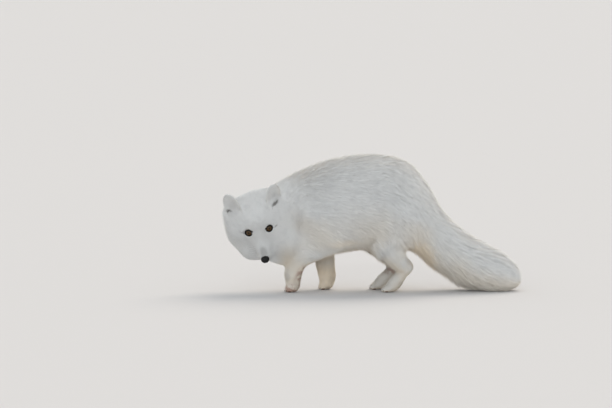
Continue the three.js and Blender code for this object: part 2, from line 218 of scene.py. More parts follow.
# -------- the outer form and the skin
def form_of(nodes):
    """One closed surface over these nodes, as a mesh of even quads."""
    shape = bmesh.new()
    for name in nodes:
        shape.from_mesh(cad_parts[name].data)
    bmesh.ops.remove_doubles(shape, verts=shape.verts, dist=0.01 * MM)
    form = linked("form", mesh_of("form", shape))
    melt = form.modifiers.new("melt", "REMESH")
    melt.mode = "VOXEL"
    melt.voxel_size = SKIN_VOXEL
    evaluated = form.evaluated_get(bpy.context.evaluated_depsgraph_get())
    made = bpy.data.meshes.new_from_object(evaluated)
    bpy.data.objects.remove(form)
    return made


class Hide:
    """The surface that both the skin and the outer form of the coat share, point for point."""

    def __init__(self, mesh):
        self.mesh = mesh
        self.quads = numbers(mesh.polygons, "vertices", 4, np.int32)
        self.ends = numbers(mesh.edges, "vertices", 2, np.int32).T
        self.size = len(mesh.vertices)
        self.near = np.bincount(self.ends.ravel(), minlength=self.size)[:, None]
        self.outer = numbers(mesh.vertices, "co", 3).astype(float)

    def even(self, values, times, share=0.5):
        """Values at the points, each drawn towards the mean of its neighbours."""
        flat = values.reshape(self.size, -1)
        a, b = self.ends
        for _ in range(times):
            total = np.empty_like(flat)
            for k in range(flat.shape[1]):
                column = flat[:, k]
                total[:, k] = np.bincount(a, column[b], self.size)
                total[:, k] += np.bincount(b, column[a], self.size)
            flat = flat + share * (total / self.near - flat)
        return flat.reshape(values.shape)

    def outward(self, points):
        """The normals that the surface has when its points are here."""
        a, b, c, d = (points[self.quads[:, k]] for k in range(4))
        across = np.cross(c - a, d - b)
        total = np.empty_like(points)
        for k in range(3):
            total[:, k] = sum(np.bincount(ends, across[:, k], self.size) for ends in self.quads.T)
        return unit(total)


def nearest_nodes(points):
    """For each point, the index in FLESH of the node whose surface is nearest."""
    corners, faces, owners = [], [], []
    for index, name in enumerate(FLESH):
        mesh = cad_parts[name].data
        first = len(corners)
        corners += [vertex.co.copy() for vertex in mesh.vertices]
        faces += [[first + corner for corner in face.vertices] for face in mesh.polygons]
        owners += [index] * len(mesh.polygons)
    tree = BVHTree.FromPolygons(corners, faces)
    return np.array([owners[tree.find_nearest(point)[2]] for point in points])


def by_node(owner, key):
    return np.array([COAT[PART_OF[name]][key] for name in FLESH], float)[owner]


def head_depth(place):
    """Depth of the coat over the head, mm: shortest on the muzzle, deep in the ruff."""
    x, y, z = place.T
    depth = 2.6 + 2.6 * rising(-x, -34, -2) + 4.5 * rising(-x, 6, 52) + 7 * rising(-x, 45, 85)
    cheek = rising(np.abs(y), 26, 50) * rising(-x, -12, 24) * rising(-z, -34, 4)
    lower = rising(-z, 34, 62) * rising(-x, -34, 2)
    return depth + 10 * np.maximum(cheek, lower)


LIE_STARTS = (66, 0, -34)  # where the lie of the head's coat fans out, in the head's frame, mm


def head_lie(points):
    """The coat of the head runs back from the nose, out and down over the cheeks, and round the eyes."""
    place = in_head(points)
    x, y, z = place.T
    away = unit(place - LIE_STARTS) + np.array([-0.9, 0, 0.25])
    over_cheeks = np.stack([0 * x, 0.5 * np.tanh(y / 30), -0.9 * rising(-z, 10, 50)], 1)
    away += over_cheeks * rising(-x, -20, 20)[:, None]
    away = unit(away) @ HEAD_AXES.T
    for side in HANDS:
        local, beyond = over_eye(points, side)
        local[:, 2] = 0
        out = unit(local) @ np.array(eye_frame(side).to_3x3()).T
        near = (1 - rising(beyond, 1, 11))[:, None]
        away += near * out * (0.35 - np.minimum(dot(away, out), 0))
    into_neck = rising(-x, 12, 50) * rising(y, 0, 30) * (1 - rising(z, -20, 8))
    round_behind = rising(-x, 26, 62) * (1 - rising(y, 0, 30))
    away = unit(away) + 1.3 * into_neck[:, None] * unit(COAT["neck"]["lie"])
    return unit(away + 1.4 * round_behind[:, None] * unit((0.45, 0.9, -0.3)))


EAR_ROOT = (-34, 42, 30)  # of the left ear, in the head's frame, mm


def ear_axis(side):
    """From the root of an ear to its middle."""
    x, y, z = EAR_ROOT
    root = from_head((x, y * HANDS[side], z))
    return np.array((centre(f"ear_{side}") - root).normalized())


def lie_of(points, owner):
    """The way the coat lies at each point, steeper low on the body."""
    lie = by_node(owner, "lie")
    on_head = owner == FLESH.index("head")
    lie[on_head] = head_lie(points[on_head])
    for side in HANDS:
        lie[owner == FLESH.index(f"ear_{side}")] = ear_axis(side)
    down = rising(centre("trunk").z - points[:, 2], 0, 0.1)
    on_body = np.isin(owner, [FLESH.index(n) for n in ("neck", "trunk", "hindquarters")])
    lie[on_body, 2] -= 0.45 * down[on_body]
    return lie


def ease_of(hide):
    """How much the facets are smoothed away: most where ears and ruff run into the coat round them."""
    ease = by_node(hide.owner, "ease")
    on_head = hide.owner == FLESH.index("head")
    ease[on_head] += 0.36 * rising(-in_head(hide.outer[on_head])[:, 0], 26, 52)
    for side in HANDS:
        axis = ear_axis(side)
        off = (hide.outer - np.array(centre(f"ear_{side}"))) / MM
        along = off @ axis
        aside = np.linalg.norm(off - along[:, None] * axis, axis=1)
        root = (1 - rising(along, -20, -6)) * (1 - rising(aside, 26, 34)) * (along > -45)
        upper = rising(along, -14, -4) * (hide.owner == FLESH.index(f"ear_{side}"))
        ease = np.maximum(ease, 0.4 * root) * (1 - upper) + 0.02 * upper
    return ease


MELT_ROUNDS = 60  # rounds of smoothing that melt facets, and steps in the coat's depth
BEHIND_HEAD = ((25, 50), (90, 120))  # where head and neck run together, mm behind the eyes
DRAWING_IN = 8  # the steps in which the skin is drawn in from the outer form


def build_hide():
    """The hide with its coat's depth, sweep, rise and lie at each point, all evened out."""
    hide = Hide(form_of(FLESH + ["eye_left", "eye_right", "nose"]))
    hide.owner = nearest_nodes(hide.outer)
    hide.outer = hide.even(hide.outer, MELT_ROUNDS, hide.even(ease_of(hide), 6)[:, None])
    place = in_head(hide.outer)
    depth = np.where(hide.owner == FLESH.index("head"), head_depth(place), by_node(hide.owner, "depth"))
    spread = np.clip(depth / 30, 0.08, 0.5)[:, None]
    hide.depth = hide.even(hide.even(depth[:, None], MELT_ROUNDS, spread), 8)[:, 0]
    ratio = by_node(hide.owner, "sweep") / by_node(hide.owner, "depth")
    hide.sweep = hide.depth * hide.even(ratio, 20)
    hide.rise = hide.even(by_node(hide.owner, "rise"), 20)
    hide.up = unit(hide.even(hide.outward(hide.outer), 6))
    lie = hide.even(lie_of(hide.outer, hide.owner), 10)
    start, end = BEHIND_HEAD
    behind = rising(-place[:, 0], *start) * (1 - rising(-place[:, 0], *end))
    lie = hide.even(lie, 70, 0.5 * behind[:, None])
    for _ in range(12):
        lie = unit(lie - dot(lie, hide.up) * hide.up)
        lie = hide.even(lie, 3)
    hide.lie = unit(lie - dot(lie, hide.up) * hide.up)
    hide.skin = under_lids(drawn_in(hide))
    return hide


def drawn_in(hide):
    """The outer form drawn in by the depth of the coat, in small steps that stay smooth."""
    points = hide.outer
    ease = np.clip(hide.depth / 24, 0.05, 0.5)[:, None]
    for _ in range(DRAWING_IN):
        inward = unit(hide.even(hide.outward(points), 5))
        points = hide.even(points - inward * (hide.depth * MM / DRAWING_IN)[:, None], 3, ease)
    return points


LID_HOLLOW = 10.2  # how far from the middle of an eye the skin stays under its lids, mm


def under_lids(points):
    """The skin with its points near an eye drawn in under the lids."""
    for side in HANDS:
        local, beyond = over_eye(points, side)
        far = np.linalg.norm(local, axis=1)
        limit = LID_HOLLOW + 14 * rising(beyond, 0, 6)
        local *= np.minimum(1, limit / far)[:, None]
        points = np.where((beyond < 8)[:, None], from_eye(local, side), points)
    return points


# -------- finishes
class Wire:
    """A socket that a finish's nodes give out; arithmetic on it adds Math nodes."""

    def __init__(self, finish, socket):
        self.finish, self.socket = finish, socket

    def math(self, operation, *others):
        return self.finish.add("ShaderNodeMath", dict(operation=operation), dict(enumerate((self, *others))))

    def __add__(self, other):
        return self.math("ADD", other)

    def __sub__(self, other):
        return self.math("SUBTRACT", other)

    def __rsub__(self, other):
        return self.finish.add("ShaderNodeMath", dict(operation="SUBTRACT"), {0: other, 1: self})

    def __mul__(self, other):
        return self.math("MULTIPLY", other)

    __radd__, __rmul__ = __add__, __mul__

    def __pow__(self, other):
        return self.math("POWER", other)

    def between(self, low, high):
        """0 where this is below low, 1 above high, with a soft slope."""
        sockets = {"Value": self, "From Min": low, "From Max": high}
        return self.finish.add("ShaderNodeMapRange", dict(interpolation_type="SMOOTHSTEP"), sockets)


class Finish:
    """A material made of one Principled shader and the nodes that feed it."""

    def __init__(self, name, **constants):
        self.material = bpy.data.materials.new(name)
        self.material.use_nodes = True
        self.tree = self.material.node_tree
        self.shader = self.tree.nodes["Principled BSDF"]
        self.set(**constants)

    def set(self, **values):
        """Sockets of the shader by name, with _ for a space."""
        for name, value in values.items():
            self.feed(self.shader.inputs[name.replace("_", " ")], value)

    def feed(self, socket, value):
        if isinstance(value, Wire):
            self.tree.links.new(value.socket, socket)
        else:
            socket.default_value = value

    def add(self, kind, settings=None, sockets=None, out=0):
        node = self.tree.nodes.new(kind)
        for name, value in (settings or {}).items():
            if name == "stops":
                self.ramp(node, value)
            else:
                setattr(node, name, value)
        for name, value in (sockets or {}).items():
            self.feed(node.inputs[name], value)
        return Wire(self, node.outputs[out])

    @staticmethod
    def ramp(node, stops):
        ramp = node.color_ramp
        for index, (place, colour) in enumerate(stops):
            stop = ramp.elements[index] if index < 2 else ramp.elements.new(place)
            stop.position, stop.color = place, (*colour, 1)

    def mixed(self, factor, first, second):
        """A colour between two."""
        first, second = ((*c, 1) if isinstance(c, tuple) else c for c in (first, second))
        return self.add("ShaderNodeMix", dict(data_type="RGBA"), {0: factor, 6: first, 7: second}, 2)

    def attribute(self, name):
        return self.add("ShaderNodeAttribute", dict(attribute_name=name), out="Fac")

    def noise(self, scale, detail=2.0, roughness=0.5, vector=None):
        place = vector or self.add("ShaderNodeTexCoord", out="Object")
        sockets = {"Vector": place, "Scale": scale, "Detail": detail, "Roughness": roughness}
        return self.add("ShaderNodeTexNoise", None, sockets, "Fac")

    def bump(self, height, strength, distance):
        sockets = {"Height": height, "Strength": strength, "Distance": distance}
        return self.add("ShaderNodeBump", None, sockets, "Normal")


def mottled(name, noise, first, second, **constants):
    """A material whose colour wanders between two tones."""
    finish = Finish(name, **constants)
    finish.set(Base_Color=finish.mixed(finish.noise(*noise), first, second))
    return finish.material


WHITE_FUR = (0.84, 0.85, 0.847)
UNDER_FUR = (0.785, 0.785, 0.775)
# The yellowish and rusty tints serve both as stains and as painted warm light and shade; the near-black fur
# serves both as near-black hair and as painted shade.
TAN_AND_WARM_SHADE_FUR = (0.91, 0.8, 0.64)
RUST_AND_WARM_RIM_FUR = (0.52, 0.33, 0.25)
DARK_FUR_AND_SHADE = (0.075, 0.066, 0.056)
DARK_SKIN = (0.014, 0.011, 0.009)


def fur_colour(finish):
    """White fur with the fox's marks and stains, and painted warm light and painted shade, for skin and coat
    alike.
    """
    patches = finish.noise(14, 3).between(0.35, 0.7)
    colour = finish.mixed(patches * 0.6, WHITE_FUR, (0.78, 0.79, 0.79))
    flecks = finish.noise(60, 4).between(0.45, 0.7)
    colour = finish.mixed(flecks * 0.4, colour, (0.7, 0.71, 0.715))
    mottles = finish.noise(95, 3)
    # Painted warm light and painted shade come in here along with the stains and marks.
    colour = finish.mixed(finish.attribute("tan_and_warm_shade"), colour, TAN_AND_WARM_SHADE_FUR)
    colour = finish.mixed(finish.attribute("rust_and_warm_rim") * mottles.between(0.38, 0.62), colour, RUST_AND_WARM_RIM_FUR)
    return finish.mixed(finish.attribute("dark_and_shade"), colour, DARK_FUR_AND_SHADE)


def coat_finish():
    finish = Finish("white_winter_fur", Roughness=0.75, Sheen_Weight=1.0, Sheen_Roughness=0.4)
    finish.set(Specular_IOR_Level=0.3, Sheen_Tint=(1, 0.9, 0.78, 1))
    root = 1 - finish.attribute("along").between(0.1, 0.8)
    body = finish.mixed(root * 0.5, fur_colour(finish), UNDER_FUR)
    finish.set(Base_Color=finish.mixed(finish.attribute("strand") * 0.12, body, (0.68, 0.675, 0.66)))
    return finish.material


def skin_finish():
    finish = Finish("fox_hide", Roughness=0.85, Specular_IOR_Level=0.2)
    hair = finish.noise(900, 2) * finish.noise(260, 3)
    finish.set(Base_Color=finish.mixed(hair.between(0.12, 0.4) * 0.2, fur_colour(finish), UNDER_FUR))
    finish.set(Normal=finish.bump(hair, 0.5, 0.8 * MM))
    return finish.material


# -------- marks and stains, with painted warm light and painted shade
def blot(points, middle, radii):
    """1 in the middle of an ellipsoid, fading to 0 at its edge."""
    return 1 - rising(np.linalg.norm((points - np.array(middle)) / radii, axis=1), 0.35, 1)


def within(name, shares):
    """A place in a node's box, by its shares of the way from the low corner to the high one."""
    low, high = (np.array(corner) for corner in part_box(name))
    return low + (high - low) * shares


def markings_and_shade(points, up):
    """How far the fur turns yellowish, rusty or near-black at these places, each from 0 to 1: stains and
    marks, with painted warm light on undersides and far legs, a painted warm rim on the near foreleg's back,
    and painted shade in folds and ears.
    """
    x, y, z = points.T
    behind_head = rising(x, HEAD_AT[0] + 0.03, HEAD_AT[0] + 0.07)
    legs = (1 - rising(z, 0.045, 0.11)) * (1 - rising(x, 0.13, 0.16))
    hind = x > HEAD_AT[0] + 0.25
    # Painted warm light: fur that faces down, on the body and under the tail, is tinted as if lit warm from
    # the floor.
    below = rising(-up[:, 2], -0.2, 0.8)
    # Painted shade: a warm tint under the rump and the tail's base, where the hanging coat is in shade lit
    # from below.
    shade_under_rump = blot(points, within("hindquarters", (0.6, 0.5, 0.16)), [0.045, 0.16, 0.055])
    hock = blot(points, within("hindleg_right", (0.4, 0.3, 0.3)), [0.022, 0.03, 0.016])
    tail_underside_shade = rising(x, 0.13, 0.2) * rising(-up[:, 2], -0.35, 0.5)
    # Painted shade: a warm band along the fold above the near elbow.
    elbow_fold_shade = blot(points, within("trunk", (0.48, 0.1, 0.24)), [0.05, 0.05, 0.016])
    # The legs' tint is partly stain and partly painted warm glow: twice as strong on the far legs, which
    # glow with light from behind.
    share = np.where(hind, 0.3, np.where(y > 0, 0.9, 0.45))
    tan_and_warm_shade = legs * share + 0.55 * shade_under_rump + 0.5 * np.maximum(below, tail_underside_shade) + 0.35 * elbow_fold_shade
    toes = blot(points, within("forepaw_left", (0.45, 0.3, 0.08)), [0.035, 0.05, 0.026])
    # Partly rust staining and partly a painted warm rim of light from behind: the near foreleg's rear edge,
    # only where it faces back.
    rear_warm_rim = blot(points, within("forepaw_left", (1, 0.4, 0.85)), [0.024, 0.06, 0.05])
    rear_warm_rim *= rising(up[:, 0], -0.1, 0.5)
    rust_and_warm_rim = np.maximum(np.maximum(0.95 * toes, 0.85 * rear_warm_rim), 0.7 * hock)
    dark_and_shade = 0.22 * blot(points, within("forepaw_left", (0.2, 0, 0.8)), [0.013, 0.03, 0.02])
    dark_and_shade = np.maximum(dark_and_shade, face_marks_and_shade(points, up))
    return dict(tan_and_warm_shade=np.clip(tan_and_warm_shade, 0, 0.95) * behind_head, rust_and_warm_rim=rust_and_warm_rim, dark_and_shade=dark_and_shade)


# Painted shade in each ear, a spot where its canal lies deep in the cup: its place as shares of the ear's
# box, and its slant.
EAR_SHADE_SPOTS = {"left": ((0.5, 0.5, 0.27), 0.7), "right": ((0.36, 0.5, 0.3), -0.2)}


def face_marks_and_shade(points, up):
    """Darker hair mixed with painted shade over the nose, near-black streaks out from the corners of the
    eyes, and painted shade low inside the ears and over their middles.
    """
    # Partly darker short hair and partly painted shade: grey over the top of the muzzle above the nose.
    dark_and_shade = 0.36 * blot(in_head(points), (57, 0, -22), [24, 12, 14])
    for side, hand in HANDS.items():
        local, _ = over_eye(points, side)
        streak = blot(local[:, :2] * [1, hand], (EYE_OPENING[0] + 4, 0.6), [6.5, 1.5])
        dark_and_shade = np.maximum(dark_and_shade, 0.7 * streak * (local[:, 2] > 0))
        place, slant = EAR_SHADE_SPOTS[side]
        shade_spot = within(f"ear_{side}", place)
        off = points - shade_spot
        off[:, 1] = 0
        off[:, 2] -= off[:, 0] * slant
        front = rising(-up[:, 1], 0, 0.5) * (np.abs(points[:, 1] - shade_spot[1]) < 0.03)
        dark_and_shade = np.maximum(dark_and_shade, 0.8 * front * blot(off, (0, 0, 0), [0.0106, 1, 0.0068]))
        # Painted shade: a faint grey over the middle of each ear's front, where the cup is hollow.
        ear_inside_shade = (points - np.array(centre(f"ear_{side}"))) * [1, 0, 1]
        dark_and_shade = np.maximum(dark_and_shade, 0.13 * front * blot(ear_inside_shade, (0, 0, 0), [0.013, 1, 0.022]))
    return dark_and_shade


# -------- the coat
NOSE_CLEAR = (10.4, 10.6, 9.4)  # the reach of the nose and its bare edge, in the head's frame, mm


def bare_places(points):
    """Where no fur grows: over the eyes with their black rims, and over the nose."""
    place = in_head(points) - in_head([centre("nose")])
    bare = (np.linalg.norm(place / NOSE_CLEAR, axis=1) < 1) & (place[:, 0] > -4)
    for side in HANDS:
        bare |= over_eye(points, side)[1] < 0
    return bare


def off_eyes(points):
    """Moves points that would cover an eye out to the edge of its black rim."""
    for side in HANDS:
        local, beyond = over_eye(points, side)
        covers = beyond < 0
        radius = np.hypot(local[covers, 0], local[covers, 1])
        local[covers, :2] *= ((radius - beyond[covers]) / radius)[:, None]
        points[covers] = from_eye(local[covers], side)
    return points


def roots_on(hide, chosen, count):
    """Even roots over the chosen faces, densest where the coat is short: faces, corners, weights."""
    quads = hide.quads[chosen]
    corners = np.concatenate([quads[:, [0, 1, 2]], quads[:, [0, 2, 3]]])
    a, b, c = (hide.outer[corners[:, k]] for k in range(3))
    dense = 1 / np.clip(hide.depth / 8, 0.35, 2)
    area = np.linalg.norm(np.cross(b - a, c - a), axis=1) * dense[corners].mean(1)
    area[bare_places((a + b + c) / 3)] = 0
    steps = (np.arange(count) + rng.random(count)) / count
    picked = np.searchsorted(np.cumsum(area) / area.sum(), steps).clip(0, len(area) - 1)
    u, v = rng.random((2, count))
    fold = u + v > 1
    u, v = np.where(fold, 1 - u, u), np.where(fold, 1 - v, v)
    return picked, corners[picked], np.stack([1 - u - v, u, v], 1)


def spread_flat(hide, chosen):
    """A flat layout of the chosen faces of the skin: two rows of three corners for each face."""
    mesh = hide.mesh
    mesh.polygons.foreach_set("select", chosen)
    ends = np.zeros(hide.size, bool)
    ends[hide.quads[chosen].ravel()] = True
    mesh.vertices.foreach_set("select", ends)
    mesh.uv_layers.new(name="spread")
    skin = linked("spread", mesh)
    bpy.context.view_layer.objects.active = skin
    bpy.context.tool_settings.mesh_select_mode = (False, False, True)
    bpy.ops.object.mode_set(mode="EDIT")
    bpy.ops.uv.smart_project(angle_limit=1.15, island_margin=0.002, scale_to_bounds=True)
    bpy.ops.object.mode_set(mode="OBJECT")
    places = numbers(mesh.uv_layers["spread"].uv, "vector", 2).reshape(-1, 4, 2)[chosen]
    bpy.data.objects.remove(skin)
    mesh.uv_layers.remove(mesh.uv_layers["spread"])
    return np.concatenate([places[:, [0, 1, 2]], places[:, [0, 2, 3]]])


# A blade: its stations as shares of its length, the share of its width at each, and its faces.
ALONG = (0, 0.58, 1)
WIDE = (0, 1, 0)
FACES = ((0, 2, 1), (1, 2, 3))
STRAY_YAW = (2.5, 6)  # degrees that locks, and the blades in them, turn aside
STRAY_LENGTH = (0.04, 0.13)  # how much locks, and the blades in them, vary in length
ROOT_HANDLE = (0.62, 0.12)  # a blade's start: shares of the depth out and of the sweep along
GUARD_HAIRS = 0.16  # the share of blades that stand out past the others
LANDS_WITHIN = 0.36  # how far from its aim a tip may land, as a share of its sweep
LEAST_TURN = 0.4  # the least cosine between the normals at a blade's root and tip
SHORTER = (0.6, 0.35, 0.15, 0)  # shares of its sweep that a blade without room tries in turn


def mixed_by(weights, values):
    """Values at the roots, from those at the corners of their faces."""
    return (values * weights[..., None]).sum(1)


def grow(hide, name, chosen, finish, outside):
    """One piece of the coat: blades over the chosen faces, drawn a little together into locks."""
    count, lock, pull, stray = GROWTH[name]
    picked, corners, weights = roots_on(hide, chosen, count)
    root = mixed_by(weights, hide.skin[corners])
    over = mixed_by(weights, hide.outer[corners])
    up = unit(mixed_by(weights, hide.up[corners]))
    lie = unit(mixed_by(weights, hide.lie[corners]))
    depth = np.linalg.norm(over - root, axis=1)
    rise = np.radians((hide.rise[corners] * weights).sum(1))

    leaders, follows = locks_of(over, lock)

    def varied(by_lock, by_blade):
        return rng.normal(0, by_lock, len(leaders))[follows] + rng.normal(0, by_blade, count)

    yaw = np.radians(varied(*STRAY_YAW))
    side = unit(np.cross(up, lie))
    lie = unit(lie * np.cos(yaw)[:, None] + side * np.sin(yaw)[:, None])
    sweep = (hide.sweep[corners] * weights).sum(1) * MM * (1 + varied(*STRAY_LENGTH))
    aim = over + lie * sweep[:, None]
    drawn = aim[leaders][follows] + 0.3 * (over - over[leaders][follows])
    share = (pull * rng.uniform(0.3, 1, count))[:, None]
    aim = aim * (1 - share) + drawn * share

    tip, tip_up = tips_from(aim, over, up, lie, sweep, outside)
    proud = rng.normal(-0.04, 0.03, count) + rng.normal(0, 0.015, len(leaders))[follows]
    proud += (rng.random(count) < GUARD_HAIRS) * rng.uniform(0.02, stray, count)
    tip = off_eyes(tip + tip_up * (proud * depth)[:, None])
    end_lie = unit(lie - dot(lie, tip_up) * tip_up)
    reach = np.linalg.norm(tip - root, axis=1, keepdims=True)
    swept_by = np.linalg.norm(tip - over, axis=1, keepdims=True)
    handle = np.minimum(0.46 * reach, 0.1 * reach + 0.8 * swept_by)  # short where a blade stands up
    bend = [
        root,
        root + up * (depth * ROOT_HANDLE[0])[:, None] + lie * swept_by * ROOT_HANDLE[1],
        tip - (end_lie * np.cos(rise)[:, None] + tip_up * np.sin(rise)[:, None]) * handle,
        tip,
    ]
    points = blade_points([off_eyes(place) for place in bend], up, tip_up, reach)
    points[..., 2] = np.maximum(points[..., 2], GROUND)

    flat = mixed_by(weights, spread_flat(hide, chosen)[picked])
    values = dict(markings_and_shade(over, up), strand=rng.random(count))
    coat_piece(name, points, flat, values, finish)


def locks_of(points, lock):
    """Leaders about lock mm apart, and for each point the row of its leader."""
    cell = np.floor(points / (lock * MM)).astype(int)
    _, leaders = np.unique(cell, axis=0, return_index=True)
    tree = KDTree(len(leaders))
    for row, index in enumerate(leaders):
        tree.insert(points[index], row)
    tree.balance()
    return leaders, np.array([tree.find(point)[1] for point in points])


def landed(points, outside):
    """The nearest places on the outer form, and its normals there."""
    found = [outside.find_nearest(point)[:2] for point in points]
    return np.array([place for place, _ in found]), np.array([normal for _, normal in found])


def tips_from(aim, over, up, lie, sweep, outside):
    """Where the tips land, with the sweep cut short for those that land astray."""
    tip, tip_up = landed(aim, outside)
    for shorter in SHORTER:
        off = np.linalg.norm(tip - aim, axis=1)
        astray = (off > LANDS_WITHIN * sweep) | (dot(tip_up, up)[:, 0] < LEAST_TURN)
        if not astray.any():
            break
        aim[astray] = (over + lie * (shorter * sweep)[:, None])[astray]
        tip[astray], tip_up[astray] = landed(aim[astray], outside)
    return tip, tip_up


def blade_points(bend, up, tip_up, reach):
    """The corners of every blade: a pair at each middle station, and one at each end."""
    a, b, c, d = bend
    wide = (BLADE_WIDTH[0] * MM + BLADE_WIDTH[1] * reach) * rng.uniform(0.75, 1.25, (len(a), 1))
    twist = rng.normal(0, 0.22, (len(a), 1))
    rows = []
    for along, width in zip(ALONG, WIDE):
        s = 1 - along
        place = a * s**3 + b * 3 * s * s * along + c * 3 * s * along**2 + d * along**3
        if width == 0:
            rows.append(place)
            continue
        way = unit((b - a) * s * s + (c - b) * 2 * s * along + (d - c) * along**2)
        across = unit(np.cross(way, up * s + tip_up * along))
        across = across * np.cos(twist) + np.cross(way, across) * np.sin(twist)
        rows += [place - across * wide * width / 2, place + across * wide * width / 2]
    return np.stack(rows, 1)


def coat_piece(name, points, flat, values, finish):
    """A mesh of all the blades, each a small patch at its root's place on the colour map."""
    count, corners = points.shape[:2]
    mesh = bpy.data.meshes.new(name)
    mesh.vertices.add(count * corners)
    mesh.vertices.foreach_set("co", points.ravel())
    order = np.concatenate(FACES)
    loops = (np.arange(count)[:, None] * corners + order).ravel()
    totals = np.tile([len(face) for face in FACES], count)
    mesh.loops.add(len(loops))
    mesh.loops.foreach_set("vertex_index", loops)
    mesh.polygons.add(len(totals))
    mesh.polygons.foreach_set("loop_start", np.r_[0, np.cumsum(totals)[:-1]])
    mesh.polygons.foreach_set("use_smooth", np.ones(len(totals), bool))
    mesh.update(calc_edges=True)

    along, side = [], []
    for share, width in zip(ALONG, WIDE):
        along += [share] if width == 0 else [share, share]
        side += [0.5] if width == 0 else [0, 1]
    patch = BAKE_PATCH * (np.stack([side, along], 1) - 0.5)
    layer = mesh.uv_layers.new(name="OFBake")
    layer.uv.foreach_set("vector", (flat[:, None] + patch[order]).ravel())
    paint(mesh, {key: np.repeat(value, corners) for key, value in values.items()})
    paint(mesh, dict(along=np.tile(along, count)))
    mesh.materials.append(finish)
    piece = linked(name, mesh)
    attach(piece, "root")


def paint(mesh, values):
    """Numbers by name for each point of a mesh, for its finish to read."""
    for key, value in values.items():
        mesh.attributes.new(key, "FLOAT", "POINT").data.foreach_set("value", value.astype(np.float32))


def coat_regions(hide):
    """Which faces of the hide each piece of the coat grows from."""
    owner = hide.owner[hide.quads[:, 0]]
    middle = hide.outer[hide.quads].mean(1)
    left = middle[:, 1] < 0
    short = hide.depth[hide.quads].mean(1) < 9.5

    def on(*names):
        return np.isin(owner, [FLESH.index(name) for name in names])

    head = on("head", "ear_left", "ear_right")
    tail = on("tail_base", "tail_middle", "tail_tip")
    legs = on(*[name for name in FLESH if "leg" in name or "paw" in name])
    return {
        "coat_face": head & short,
        "coat_ruff": head & ~short,
        "coat_neck": on("neck"),
        "coat_trunk_left": on("trunk") & left,
        "coat_trunk_right": on("trunk") & ~left,
        "coat_rump_left": on("hindquarters") & left,
        "coat_rump_right": on("hindquarters") & ~left,
        "coat_tail": tail,
        "coat_legs": legs,
    }


BLADE_WIDTH = (0.4, 0.018)  # mm, and the share of its length that is added
# For each piece of the coat: how many blades, the size of its locks (mm), how strongly a lock draws
# its blades together, and how far guard hairs stand out, as a share of the coat's depth.
GROWTH = {
    "coat_face": (97000, 3.5, 0.1, 0.2),
    "coat_ruff": (70000, 8, 0.18, 0.35),
    "coat_neck": (80000, 12, 0.18, 0.35),
    "coat_trunk_left": (90000, 12, 0.1, 0.3),
    "coat_trunk_right": (90000, 12, 0.1, 0.3),
    "coat_rump_left": (70000, 12, 0.1, 0.35),
    "coat_rump_right": (70000, 12, 0.1, 0.35),
    "coat_tail": (90000, 11, 0.16, 0.5),
    "coat_legs": (85000, 5, 0.16, 0.4),
}


def build_coat(hide, outside):
    finish = coat_finish()
    for name, chosen in coat_regions(hide).items():
        grow(hide, name, chosen, finish, outside)


def build_skin(hide):
    mesh = hide.mesh
    mesh.vertices.foreach_set("co", hide.skin.ravel())
    mesh.polygons.foreach_set("use_smooth", np.ones(len(mesh.polygons), bool))
    mesh.update()
    paint(mesh, markings_and_shade(hide.outer, hide.up))
    mesh.materials.append(skin_finish())
    skin = linked("fox_skin", mesh)
    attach(skin, "root")
    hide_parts(*FLESH)


# -------- swept pieces
def extruded(shape, edges):
    """The next ring of a tube: its points, and the edges between them."""
    made = bmesh.ops.extrude_edge_only(shape, edges=edges)["geom"]
    ring = [g for g in made if isinstance(g, bmesh.types.BMVert)]
    held = set(ring)
    return ring, [g for g in made if isinstance(g, bmesh.types.BMEdge) and set(g.verts) <= held]


def swept(shape, path, radii, sides):
    """A closed tapering rod along a path, added to shape."""
    ways = [path[1] - path[0]] + [b - a for a, b in zip(path, path[2:])] + [path[-1] - path[-2]]
    frames = []
    for place, way, radius in zip(path, ways, radii):
        turn = way.to_track_quat("Z", "Y").to_matrix().to_4x4()
        frames.append(Matrix.Translation(place) @ turn @ Matrix.Scale(radius, 4))
    ring = bmesh.ops.create_circle(shape, cap_ends=True, segments=sides, radius=1, matrix=frames[0])["verts"]
    edges = [e for e in {e for v in ring for e in v.link_edges} if all(v in ring for v in e.verts)]
    for start, end in zip(frames, frames[1:]):
        ring, edges = extruded(shape, edges)
        bmesh.ops.transform(shape, matrix=end @ start.inverted(), verts=ring)
    bmesh.ops.contextual_create(shape, geom=edges)


def closed(shape):
    bmesh.ops.remove_doubles(shape, verts=shape.verts, dist=0.0005 * MM)
    bmesh.ops.recalc_face_normals(shape, faces=shape.faces)
    return shape


def arc(start, way, droop, length, count):
    """Points along a hair or claw that starts one way and bends towards droop."""
    way, droop = Vector(way).normalized(), Vector(droop)
    return [start + (way + droop * (k / count)) * (length * k / count) for k in range(count + 1)]


# -------- the eyes
LOOK_UP = 0.45  # how far the eyes turn from their sockets' axes towards the way the fox looks
LOOKS_AT = (0.62, 0, 0.79)  # in the head's frame
PUPIL_EDGE = (0.22, 0.29)  # where it fades into the iris, as shares of the eyeball
IRIS_EDGE = (0.58, 0.68)


